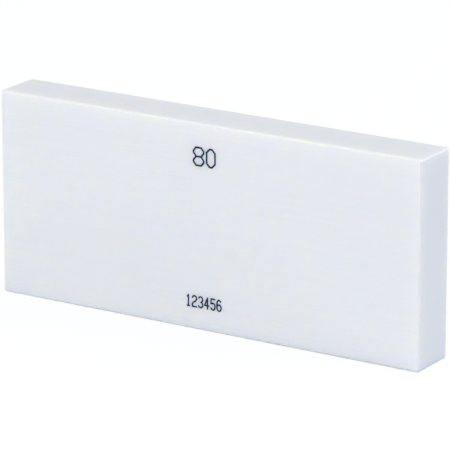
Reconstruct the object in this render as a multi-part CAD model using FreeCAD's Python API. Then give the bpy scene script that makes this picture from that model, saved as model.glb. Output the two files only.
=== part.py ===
"""Rectangular gauge block in white zirconia ceramic, 80 mm nominal length.

The block is one piece: a bar ground square on its four long sides, with its
two ends lapped flat and parallel.  The lapped ends are the measuring faces,
and the distance between them is the nominal length.  The section is the
standard 35 mm by 9 mm one of every block longer than 10 mm.  Each edge is
broken by a small 45 degree chamfer, so that no edge chips and no burr keeps
two blocks from wringing together.

Frame, in millimetres: the block stands on one of its narrow long sides.
  +X  from measuring face to measuring face (nominal length)
  +Y  through the thickness, from the marked side to the plain one
  +Z  up, across the width of the measuring faces
The origin is the middle of the face that the block stands on.
"""
import FreeCAD, Part
import os
from FreeCAD import Vector

# ---- Driving dimensions, in millimetres ----
nominal_length = 80.0            # from measuring face to measuring face
block_width = 35.0               # long side of a measuring face, upright here
block_thickness = 9.0            # short side of a measuring face
side_edge_chamfer = 0.3          # leg of the break on the four long edges
measuring_edge_chamfer = 0.3     # leg of the break round each measuring face


def chamfered_section(width, thickness, chamfer, x):
    """Face across the bar at x: a rectangle whose four corners are cut at 45 degrees."""
    half = thickness / 2
    corners = [
        Vector(x, -half + chamfer, 0),
        Vector(x, half - chamfer, 0),
        Vector(x, half, chamfer),
        Vector(x, half, width - chamfer),
        Vector(x, half - chamfer, width),
        Vector(x, -half + chamfer, width),
        Vector(x, -half, width - chamfer),
        Vector(x, -half, chamfer),
    ]
    return Part.Face(Part.makePolygon(corners + corners[:1]))


def ground_bar():
    """The bar as its sides are ground: square, with its four long edges broken."""
    section = chamfered_section(
        block_width, block_thickness, side_edge_chamfer, -nominal_length / 2
    )
    return section.extrude(Vector(nominal_length, 0, 0))


def edges_round_measuring_faces(bar):
    """The edges that bound the two ends, which are those that lie square to X."""
    return [e for e in bar.Edges if abs(e.tangentAt(e.FirstParameter).x) < 0.5]


def gauge_block():
    """The finished block: the ground bar with the edges of its lapped ends broken."""
    bar = ground_bar()
    broken = bar.makeChamfer(measuring_edge_chamfer, edges_round_measuring_faces(bar))
    return broken.Solids[0]


def export(node, solid):
    """Writes one closed solid as one STEP file, named after its node."""
    if not (solid.isValid() and solid.isClosed()):
        raise ValueError(node + " is not a valid closed solid")
    solid.exportStep(os.path.join("parts", node + ".step"))
    box = solid.BoundBox
    print(
        f"{node}: {box.XLength:.3f} x {box.YLength:.3f} x {box.ZLength:.3f} mm, "
        f"{solid.Volume / 1000:.3f} cm3, {len(solid.Faces)} faces"
    )


os.makedirs("parts", exist_ok=True)
export("gauge_block", gauge_block())
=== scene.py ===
"""Looks of an 80 mm gauge block in white zirconia ceramic.

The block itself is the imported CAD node.  This script finishes its surfaces,
adds the two laser marks on its front, and sets the floor, lights and camera.

Frame, in metres: +X along the nominal length, +Y from the marked side to the
plain one, +Z up.  The origin is the middle of the face the block stands on.
"""

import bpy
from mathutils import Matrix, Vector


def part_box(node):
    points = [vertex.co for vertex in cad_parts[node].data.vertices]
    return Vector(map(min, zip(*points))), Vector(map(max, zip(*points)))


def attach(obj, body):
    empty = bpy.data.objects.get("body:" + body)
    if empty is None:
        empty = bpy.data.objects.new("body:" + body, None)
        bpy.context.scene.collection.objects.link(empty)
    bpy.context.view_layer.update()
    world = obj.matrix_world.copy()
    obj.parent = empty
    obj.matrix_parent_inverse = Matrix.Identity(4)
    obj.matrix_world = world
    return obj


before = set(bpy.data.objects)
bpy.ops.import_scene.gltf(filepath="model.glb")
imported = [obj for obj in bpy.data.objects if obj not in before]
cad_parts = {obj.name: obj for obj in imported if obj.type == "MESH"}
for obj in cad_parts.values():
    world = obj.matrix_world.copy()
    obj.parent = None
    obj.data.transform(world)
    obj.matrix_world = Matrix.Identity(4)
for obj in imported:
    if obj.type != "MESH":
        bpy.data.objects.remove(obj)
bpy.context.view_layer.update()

import math

import bmesh
import bpy
from mathutils import Vector

MM = 0.001

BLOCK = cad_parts["gauge_block"]
LOW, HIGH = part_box("gauge_block")
FRONT_Y = LOW.y                     # the marked side

# ---- The block's own mesh ----
JOIN_WITHIN = 0.001 * MM            # corners closer than this are one
EDGE_EASE = 0.05 * MM               # rounds the edges of the chamfers
EASE_SEGMENTS = 3
EASE_ABOVE = math.radians(30)       # bends sharper than this are eased

# ---- Marks on the front, sizes of the strokes' centre lines ----
SIZE_HEIGHT = 3.0 * MM              # the two figures of the nominal length
SIZE_STROKE = 0.30 * MM
SIZE_BELOW_TOP = 5.6 * MM           # from the top face to the middle of the figures
EIGHT_WIDTH = 1.93 * MM
EIGHT_ALONG = -1.12 * MM            # middle of the 8, from the middle of the block
ZERO_WIDTH = 1.58 * MM
ZERO_ALONG = 1.21 * MM
IDENTITY_HEIGHT = 1.85 * MM         # the row of small figures near the bottom
IDENTITY_WIDTH = 0.82 * MM
IDENTITY_PITCH = 1.18 * MM
IDENTITY_ASIDE = -0.19 * MM         # middle of the row, a little to the left of the block's
IDENTITY_STROKE = 0.26 * MM
IDENTITY_ABOVE_FLOOR = 4.8 * MM
MARK_PROUD = 0.008 * MM             # how far a mark stands off the face
MARK_SUNK = 0.02 * MM               # how deep it lies in the face

# ---- Ceramic ----
CERAMIC_LOW = (0.791, 0.822, 0.880, 1.0)      # its colour drifts between these two
CERAMIC_HIGH = (0.807, 0.836, 0.890, 1.0)
LINE_COLOUR = (0.768, 0.802, 0.866, 1.0)      # the darker grinding lines
LINE_COLOUR_SHARE = 0.8                       # how much of it the darkest lines show
LINE_COLOUR_RANGE = (0.45, 0.70)              # noise from no such line to the darkest
# Painted highlight: a paler colour on the chamfers and eased edges that stands in for the light
# they catch
PAINTED_EDGE_HIGHLIGHT = (0.845, 0.868, 0.910, 1.0)
CERAMIC_IOR = 1.9
SCATTER_COLOUR = (1.0, 0.8, 0.5)    # how far red, green and blue go, against each other
SCATTER_DEPTH = 2.5 * MM
GROUND_ROUGHNESS = (0.36, 0.44)     # the four long sides
LINE_ROUGHNESS = 0.06               # more or less than that, from line to line
LAPPED_ROUGHNESS = (0.07, 0.11)     # the two ends
LINE_RELIEF = 0.003 * MM
LINE_RELIEF_STRENGTH = 0.8

# Noise: blotches to the metre along X, Y and Z, times it is made finer, and how much
# each time adds.  The grinding lines run along the sides, about 0.14 mm apart and
# with finer ones between.
LINES = ((60.0, 7000.0, 7000.0), 3.0, 0.65)
SMEARS = ((90.0, 160.0, 160.0), 3.0, 0.55)
CLOUDS = ((45.0, 60.0, 60.0), 2.0, 0.5)
LASER_SPOTS = ((14000.0, 14000.0, 14000.0), 2.0, 0.6)
NOISE_RANGE = (0.3, 0.7)            # most of a noise's values lie between these

# How squarely a surface faces along an axis, from 0 to 1
LAPPED_FACING = (0.90, 0.98)        # along X: from ground to lapped
SQUARE_FACING = (0.80, 0.94)        # along any axis: from an edge break to a face

# ---- Laser mark ----
MARK_DARK = (0.003, 0.013, 0.055, 1.0)
MARK_PALE = (0.010, 0.034, 0.105, 1.0)
MARK_PALE_RANGE = (0.35, 0.7)       # noise from the dark to the pale
MARK_ROUGHNESS = (0.45, 0.65)
MARK_SPECULAR = 0.1
MARK_RELIEF = 0.004 * MM
MARK_RELIEF_STRENGTH = 0.5

# ---- Floor ----
FLOOR_SIZE = 8.0
FLOOR_GAP = 0.02 * MM               # under the block, so that no two faces share a plane
FLOOR_COLOUR = (0.62, 0.66, 0.74, 1.0)
FLOOR_SHARE = 0.75                  # share of the table's look that is plain white, the rest is lit
FLOOR_WHITE = 1.165                 # brings the lit part, light grey by itself, up to white

# ---- Light ----
# A level of 1 lights a white card that faces the lamp exactly to white.
WHITE = (1.0, 1.0, 1.0, 1.0)
TENT_LEVEL = 0.42                   # the even light from all round
SOFTBOXES = (                       # name, degrees round from -Y to +X, degrees up, level, colour
    ("front_softbox", -15, 10, 0.71, (1.0, 0.965, 0.89)),
    ("back_right_softbox", 120, 42, 0.53, (0.93, 0.95, 1.0)),
)
SOFTBOX_DISTANCE = 1.0
SOFTBOX_SIZE = 0.6

# ---- Camera ----
CAMERA_PLACE = Vector((326.65, -518.64, 202.51)) * MM
CAMERA_AIM = Vector((0.86, 0.35, 16.97)) * MM
LENS = 314.88                       # focal length and sensor, both in mm
SENSOR_WIDTH = 36.0
CLIP_START = 0.01


# ======================================================================
# Node helpers
# ======================================================================

def new_material(name):
    """An empty node material and its tree."""
    material = bpy.data.materials.new(name)
    material.use_nodes = True
    material.node_tree.nodes.clear()
    return material, material.node_tree


def node(tree, kind, **settings):
    """Adds a node and sets its properties."""
    made = tree.nodes.new(kind)
    for key, value in settings.items():
        setattr(made, key, value)
    return made


def feed(tree, socket, value):
    """Links an output into a socket, or writes a plain value there."""
    if isinstance(value, bpy.types.NodeSocket):
        tree.links.new(value, socket)
    else:
        socket.default_value = value


def filled(tree, kind, values):
    """Adds a node, feeds its named sockets and gives its first output."""
    made = node(tree, kind)
    for name, value in values.items():
        feed(tree, made.inputs[name], value)
    return made.outputs[0]


def math_node(tree, operation, first, second=0.0):
    """One arithmetic step."""
    made = node(tree, "ShaderNodeMath", operation=operation)
    feed(tree, made.inputs[0], first)
    feed(tree, made.inputs[1], second)
    return made.outputs[0]


def largest(tree, values):
    """The largest of three numbers."""
    first, second, third = values
    return math_node(tree, "MAXIMUM", math_node(tree, "MAXIMUM", first, second), third)


def span(tree, value, from_range, to_range):
    """Maps a value from one range to another, held inside it."""
    made = node(tree, "ShaderNodeMapRange")
    for socket, number in zip(made.inputs[:5], (value, *from_range, *to_range)):
        feed(tree, socket, number)
    return made.outputs["Result"]


def noise_node(tree, coordinates, per_metre, detail, roughness):
    """Noise of object coordinates, stretched by one number for each axis."""
    scaled = node(tree, "ShaderNodeVectorMath", operation="MULTIPLY")
    feed(tree, scaled.inputs[0], coordinates)
    feed(tree, scaled.inputs[1], per_metre)
    made = node(tree, "ShaderNodeTexNoise")
    feed(tree, made.inputs["Vector"], scaled.outputs[0])
    feed(tree, made.inputs["Scale"], 1.0)
    feed(tree, made.inputs["Detail"], detail)
    feed(tree, made.inputs["Roughness"], roughness)
    return made.outputs["Fac"]


def mix(tree, data_type, factor, first, second):
    """Blends two colours, for RGBA, or two numbers, for FLOAT."""
    made = node(tree, "ShaderNodeMix", data_type=data_type)
    feed(tree, made.inputs["Factor"], factor)
    feed(tree, made.inputs["A"], first)
    feed(tree, made.inputs["B"], second)
    return made.outputs["Result"]


def relief(tree, height, strength, distance):
    """The normal of a surface with small bumps."""
    return filled(tree, "ShaderNodeBump", {
        "Strength": strength, "Distance": distance, "Height": height,
    })


def seen_directly(tree):
    """1 for what the camera sees, also in or through an object, and 0 for what lights one."""
    rays = node(tree, "ShaderNodeLightPath")
    kinds = ("Is Glossy Ray", "Is Transmission Ray", "Is Camera Ray")
    return largest(tree, [rays.outputs[kind] for kind in kinds])


def finish_tree(tree, kind, shader):
    """Sends a shader to the tree's output."""
    out = node(tree, kind)
    feed(tree, out.inputs["Surface"], shader)


def two_looks(tree, share, first, second):
    """Blends two shaders."""
    made = node(tree, "ShaderNodeMixShader")
    for socket, value in zip(made.inputs, (share, first, second)):
        feed(tree, socket, value)
    return made.outputs[0]


# ======================================================================
# Materials
# ======================================================================

def block_regions(tree, normal):
    """How lapped a point is (the ends), and how much it lies on an edge break, where a highlight is
    painted.
    """
    across = node(tree, "ShaderNodeSeparateXYZ")
    feed(tree, across.inputs[0], normal)
    facing = [math_node(tree, "ABSOLUTE", across.outputs[axis]) for axis in "XYZ"]
    lapped = span(tree, facing[0], LAPPED_FACING, (0.0, 1.0))
    # Mask of the edge breaks, where the painted highlight goes
    edge_highlight_mask = span(tree, largest(tree, facing), SQUARE_FACING, (1.0, 0.0))
    return lapped, edge_highlight_mask


def ceramic_roughness(tree, lines, smears, lapped):
    """Ground sides whose lines differ a little, and smooth lapped ends."""
    ground = math_node(
        tree, "ADD", span(tree, smears, NOISE_RANGE, GROUND_ROUGHNESS),
        span(tree, lines, NOISE_RANGE, (-LINE_ROUGHNESS, LINE_ROUGHNESS)),
    )
    return mix(tree, "FLOAT", lapped, ground, span(tree, smears, NOISE_RANGE, LAPPED_ROUGHNESS))


def ceramic_colour(tree, coordinates, lines, unlapped, edge_highlight_mask):
    """Cool white that drifts a little, with darker lines on the sides and a painted highlight:
    paler colour on the edge breaks.
    """
    clouds = noise_node(tree, coordinates, *CLOUDS)
    drift = span(tree, clouds, NOISE_RANGE, (0.0, 1.0))
    colour = mix(tree, "RGBA", drift, CERAMIC_LOW, CERAMIC_HIGH)
    darkness = span(tree, lines, LINE_COLOUR_RANGE, (0.0, LINE_COLOUR_SHARE))
    lined = mix(
        tree, "RGBA", math_node(tree, "MULTIPLY", darkness, unlapped), colour, LINE_COLOUR
    )
    # Painted highlight: the edge breaks turn paler, in place of the light that they catch
    return mix(tree, "RGBA", edge_highlight_mask, lined, PAINTED_EDGE_HIGHLIGHT)


def zirconia_material():
    """White zirconia: translucent, ground on its sides and lapped on its two ends."""
    material, tree = new_material("ground_zirconia")
    place = node(tree, "ShaderNodeTexCoord").outputs
    lapped, edge_highlight_mask = block_regions(tree, place["Normal"])
    unlapped = math_node(tree, "SUBTRACT", 1.0, lapped)
    lines = noise_node(tree, place["Object"], *LINES)
    smears = noise_node(tree, place["Object"], *SMEARS)
    height = math_node(tree, "MULTIPLY", lines, unlapped)
    shader = filled(tree, "ShaderNodeBsdfPrincipled", {
        "Base Color": ceramic_colour(tree, place["Object"], lines, unlapped, edge_highlight_mask),
        "Roughness": ceramic_roughness(tree, lines, smears, lapped),
        "IOR": CERAMIC_IOR,
        "Normal": relief(tree, height, LINE_RELIEF_STRENGTH, LINE_RELIEF),
        "Subsurface Weight": 1.0,
        "Subsurface Radius": SCATTER_COLOUR,
        "Subsurface Scale": SCATTER_DEPTH,
    })
    finish_tree(tree, "ShaderNodeOutputMaterial", shader)
    return material


def laser_mark_material():
    """Zirconia blackened by a laser: dark blue-grey, uneven from spot to spot."""
    material, tree = new_material("laser_mark")
    place = node(tree, "ShaderNodeTexCoord").outputs
    spots = noise_node(tree, place["Object"], *LASER_SPOTS)
    paleness = span(tree, spots, MARK_PALE_RANGE, (0.0, 1.0))
    shader = filled(tree, "ShaderNodeBsdfPrincipled", {
        "Base Color": mix(tree, "RGBA", paleness, MARK_DARK, MARK_PALE),
        "Roughness": span(tree, spots, NOISE_RANGE, MARK_ROUGHNESS),
        "Specular IOR Level": MARK_SPECULAR,
        "Normal": relief(tree, spots, MARK_RELIEF_STRENGTH, MARK_RELIEF),
    })
    finish_tree(tree, "ShaderNodeOutputMaterial", shader)
    return material


def floor_material():
    """Pale studio table: mostly plain white to the eye, and lit enough to keep a faint shadow."""
    material, tree = new_material("studio_table")
    matt = filled(tree, "ShaderNodeBsdfDiffuse", {"Color": FLOOR_COLOUR})
    white = filled(tree, "ShaderNodeEmission", {"Color": WHITE, "Strength": FLOOR_WHITE})
    share = math_node(tree, "MULTIPLY", seen_directly(tree), FLOOR_SHARE)
    finish_tree(tree, "ShaderNodeOutputMaterial", two_looks(tree, share, matt, white))
    return material


# ======================================================================
# Figures
# ======================================================================
# A figure is a list of strokes, each a list of points and whether it closes on
# itself.  Its points run from -1 to 1 across the figure and from -1 to 1 up it.

def line(*points):
    """An open stroke through some points."""
    return list(points), False


def ring(points):
    """A stroke that closes on itself."""
    return points, True


def arc(cx, cz, rx, rz, start, end, steps):
    """Points along an elliptical arc, angles in degrees from +X towards +Z."""
    turns = [math.radians(start + (end - start) * i / steps) for i in range(steps + 1)]
    return [(cx + rx * math.cos(a), cz + rz * math.sin(a)) for a in turns]


def mirrored(right):
    """A closed form from the points of its right half, bottom to top."""
    return right + [(-x, z) for x, z in reversed(right)]


def loop_of_eight(up):
    """One eight-sided loop of the large 8: the upper one for 1, the lower one for -1."""
    whole = mirrored([(0.5, 0.0), (1.0, 0.42), (1.0, 0.62), (0.5, 1.0)])
    return [(x, z * up) for x, z in whole]


LARGE_8 = [ring(loop_of_eight(1)), ring(loop_of_eight(-1))]
LARGE_0 = [ring(mirrored([(0.28, -1.0), (1.0, -0.6), (1.0, 0.6), (0.28, 1.0)]))]
SMALL_1 = [
    line((-0.45, 0.68), (0.0, 1.0)),
    line((0.0, 1.0), (0.0, -1.0)),
    line((-0.5, -1.0), (0.5, -1.0)),
]
SMALL_2 = [
    line(
        *arc(0.0, 0.5, 1.0, 0.5, 165, -15, 9),
        (0.5, 0.05), (-0.6, -0.25), (-1.0, -0.6), (-1.0, -1.0),
    ),
    line((-1.0, -1.0), (1.0, -1.0)),
]
SMALL_3 = [
    line(*arc(0.0, 0.5, 0.95, 0.5, 155, -80, 10)),
    line(*arc(0.0, -0.5, 1.0, 0.5, 80, -155, 10)),
]
SMALL_4 = [
    line((0.35, -1.0), (0.35, 1.0)),
    line((0.35, 1.0), (-1.0, -0.4)),
    line((-1.0, -0.4), (0.95, -0.4)),
]
SMALL_5 = [
    line((0.85, 1.0), (-0.8, 1.0)),
    line((-0.8, 1.0), (-0.9, 0.12)),
    line(*arc(0.0, -0.38, 1.0, 0.62, 125, -155, 12)),
]
SMALL_6 = [
    line(*arc(0.0, 0.25, 0.97, 0.75, 42, 180, 8)),
    line((-0.97, 0.25), (-0.97, -0.42)),
    ring(arc(0.0, -0.42, 0.97, 0.58, 0, 342, 19)),
]


# ======================================================================
# Marks
# ======================================================================

def turned_off(path, half_width, closed):
    """The points half a stroke to the left and to the right of a path, mitred at its turns."""
    count = len(path)
    left, right = [], []
    for i, point in enumerate(path):
        ahead = path[(i + 1) % count] if closed or i < count - 1 else 2 * point - path[i - 1]
        behind = path[i - 1] if closed or i > 0 else 2 * point - ahead
        arriving = (point - behind).normalized()
        leaving = (ahead - point).normalized()
        along = (arriving + leaving).normalized()
        across = Vector((-along.y, along.x)) * (half_width / along.dot(leaving))
        left.append(point + across)
        right.append(point - across)
    return left, right


def round_end(centre, start, steps=8):
    """Points of the half circle from start, clockwise about centre, without its two ends."""
    arm = start - centre
    turns = [-math.pi * i / steps for i in range(1, steps)]
    return [
        centre + Vector((
            arm.x * math.cos(a) - arm.y * math.sin(a),
            arm.x * math.sin(a) + arm.y * math.cos(a),
        ))
        for a in turns
    ]


def round_about(count, first=0):
    """Pairs of neighbours among so many points on a closed line, counted from first."""
    return [(first + i, first + (i + 1) % count) for i in range(count)]


def stroke_outline(path, width, closed):
    """A stroke's points seen from the front, its flat faces and its rims, by point number."""
    left, right = turned_off(path, width / 2, closed)
    if closed:
        count = len(path)
        rims = [round_about(count), round_about(count, count)]
        sheet = [(a, b, b + count, a + count) for a, b in rims[0]]
        return left + right, sheet, rims
    outline = left + round_end(path[-1], left[-1]) + right[::-1] + round_end(path[0], right[0])
    return outline, [tuple(range(len(outline)))], [round_about(len(outline))]


def stroke_solid(path, width, closed, material):
    """A thin closed solid along a path on the front face, with round ends if it is open."""
    outline, sheet, rims = stroke_outline(path, width, closed)
    bm = bmesh.new()
    outer = [bm.verts.new((p.x, FRONT_Y - MARK_PROUD, p.y)) for p in outline]
    inner = [bm.verts.new((p.x, FRONT_Y + MARK_SUNK, p.y)) for p in outline]
    for corners in sheet:
        bm.faces.new([outer[i] for i in corners])
        bm.faces.new([inner[i] for i in reversed(corners)])
    for rim in rims:
        for a, b in rim:
            bm.faces.new((outer[a], inner[a], inner[b], outer[b]))
    bmesh.ops.recalc_face_normals(bm, faces=bm.faces)
    mesh = bpy.data.meshes.new("stroke")
    bm.to_mesh(mesh)
    bm.free()
    mesh.materials.append(material)
    return bpy.data.objects.new("stroke", mesh)


def placed(figure, middle, width, height):
    """The strokes of one figure at their place on the front, as (path, closed) pairs."""
    across, up = width / 2, height / 2
    return [
        ([Vector((middle.x + x * across, middle.y + z * up)) for x, z in path], closed)
        for path, closed in figure
    ]


def united(solids):
    """The mesh of several solids joined into one by a boolean."""
    first, others = solids[0], solids[1:]
    group = bpy.data.collections.new("strokes")
    bpy.context.scene.collection.children.link(group)
    bpy.context.scene.collection.objects.link(first)
    for other in others:
        group.objects.link(other)
    union = first.modifiers.new("union", "BOOLEAN")
    union.operation = "UNION"
    union.solver = "EXACT"
    union.operand_type = "COLLECTION"
    union.collection = group
    ready = first.evaluated_get(bpy.context.evaluated_depsgraph_get())
    mesh = bpy.data.meshes.new_from_object(ready)
    for solid in solids:
        bpy.data.objects.remove(solid)
    bpy.data.collections.remove(group)
    return mesh


def mark_piece(name, strokes, width, material):
    """Joins several strokes into one clean solid that rides on the block."""
    mesh = united([stroke_solid(path, width, closed, material) for path, closed in strokes])
    mesh.name = name
    piece = bpy.data.objects.new(name, mesh)
    bpy.context.scene.collection.objects.link(piece)
    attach(piece, "root")
    return piece


def nominal_size_mark(material):
    """The block's length in millimetres, near the top of its front."""
    height = HIGH.z - SIZE_BELOW_TOP
    eight = placed(LARGE_8, Vector((EIGHT_ALONG, height)), EIGHT_WIDTH, SIZE_HEIGHT)
    zero = placed(LARGE_0, Vector((ZERO_ALONG, height)), ZERO_WIDTH, SIZE_HEIGHT)
    return mark_piece("nominal_size_mark", eight + zero, SIZE_STROKE, material)


def identity_mark(material):
    """A plain run of figures where such a block has its own number."""
    figures = (SMALL_1, SMALL_2, SMALL_3, SMALL_4, SMALL_5, SMALL_6)
    strokes = []
    for i, figure in enumerate(figures):
        along = IDENTITY_ASIDE + (i - (len(figures) - 1) / 2) * IDENTITY_PITCH
        middle = Vector((along, IDENTITY_ABOVE_FLOOR))
        strokes += placed(figure, middle, IDENTITY_WIDTH, IDENTITY_HEIGHT)
    return mark_piece("identity_mark", strokes, IDENTITY_STROKE, material)


# ======================================================================
# Stage
# ======================================================================

def add_floor():
    """The table, a hair under the block."""
    bpy.ops.mesh.primitive_plane_add(size=FLOOR_SIZE, location=(0.0, 0.0, -FLOOR_GAP))
    floor = bpy.context.object
    floor.name = "floor"
    floor.data.materials.append(floor_material())


def add_softbox(name, round_deg, up_deg, level, colour):
    """A square area light that faces the middle of the block from a given side."""
    lamp = bpy.data.lights.new(name, "AREA")
    lamp.shape = "SQUARE"
    lamp.size = SOFTBOX_SIZE
    lamp.energy = level * (math.pi * SOFTBOX_DISTANCE) ** 2
    lamp.color = colour
    holder = bpy.data.objects.new(name, lamp)
    bpy.context.scene.collection.objects.link(holder)
    around, up = math.radians(round_deg), math.radians(up_deg)
    outward = Vector((
        math.sin(around) * math.cos(up),
        -math.cos(around) * math.cos(up),
        math.sin(up),
    ))
    holder.location = (LOW + HIGH) / 2 + outward * SOFTBOX_DISTANCE
    holder.rotation_euler = (-outward).to_track_quat("-Z", "Y").to_euler()


def add_world(level):
    """White to the eye, and a plain grey tent to everything that it lights."""
    world = bpy.data.worlds.new("studio")
    bpy.context.scene.world = world
    world.use_nodes = True
    tree = world.node_tree
    tree.nodes.clear()
    tent = filled(tree, "ShaderNodeBackground", {"Color": WHITE, "Strength": level})
    white = filled(tree, "ShaderNodeBackground", {"Color": WHITE, "Strength": 1.0})
    finish_tree(tree, "ShaderNodeOutputWorld", two_looks(tree, seen_directly(tree), tent, white))


def add_camera():
    """A long lens that looks at the marked side from its right and a little above."""
    data = bpy.data.cameras.new("camera")
    data.sensor_width = SENSOR_WIDTH
    data.lens = LENS
    data.clip_start = CLIP_START
    camera = bpy.data.objects.new("camera", data)
    bpy.context.scene.collection.objects.link(camera)
    camera.location = CAMERA_PLACE
    camera.rotation_euler = (CAMERA_AIM - CAMERA_PLACE).to_track_quat("-Z", "Y").to_euler()
    bpy.context.scene.camera = camera


# ======================================================================
# The scene
# ======================================================================

def finish_block():
    """Joins the faces of the CAD node, eases its edges a little and gives it its ceramic."""
    weld = BLOCK.modifiers.new("join_faces", "WELD")
    weld.merge_threshold = JOIN_WITHIN
    ease = BLOCK.modifiers.new("ease_edges", "BEVEL")
    ease.width = EDGE_EASE
    ease.segments = EASE_SEGMENTS
    ease.limit_method = "ANGLE"
    ease.angle_limit = EASE_ABOVE
    BLOCK.data.materials.clear()
    BLOCK.data.materials.append(zirconia_material())


finish_block()
laser_mark = laser_mark_material()
nominal_size_mark(laser_mark)
identity_mark(laser_mark)
add_floor()
add_world(TENT_LEVEL)
for softbox in SOFTBOXES:
    add_softbox(*softbox)
add_camera()
bpy.context.scene.view_settings.view_transform = "Standard"
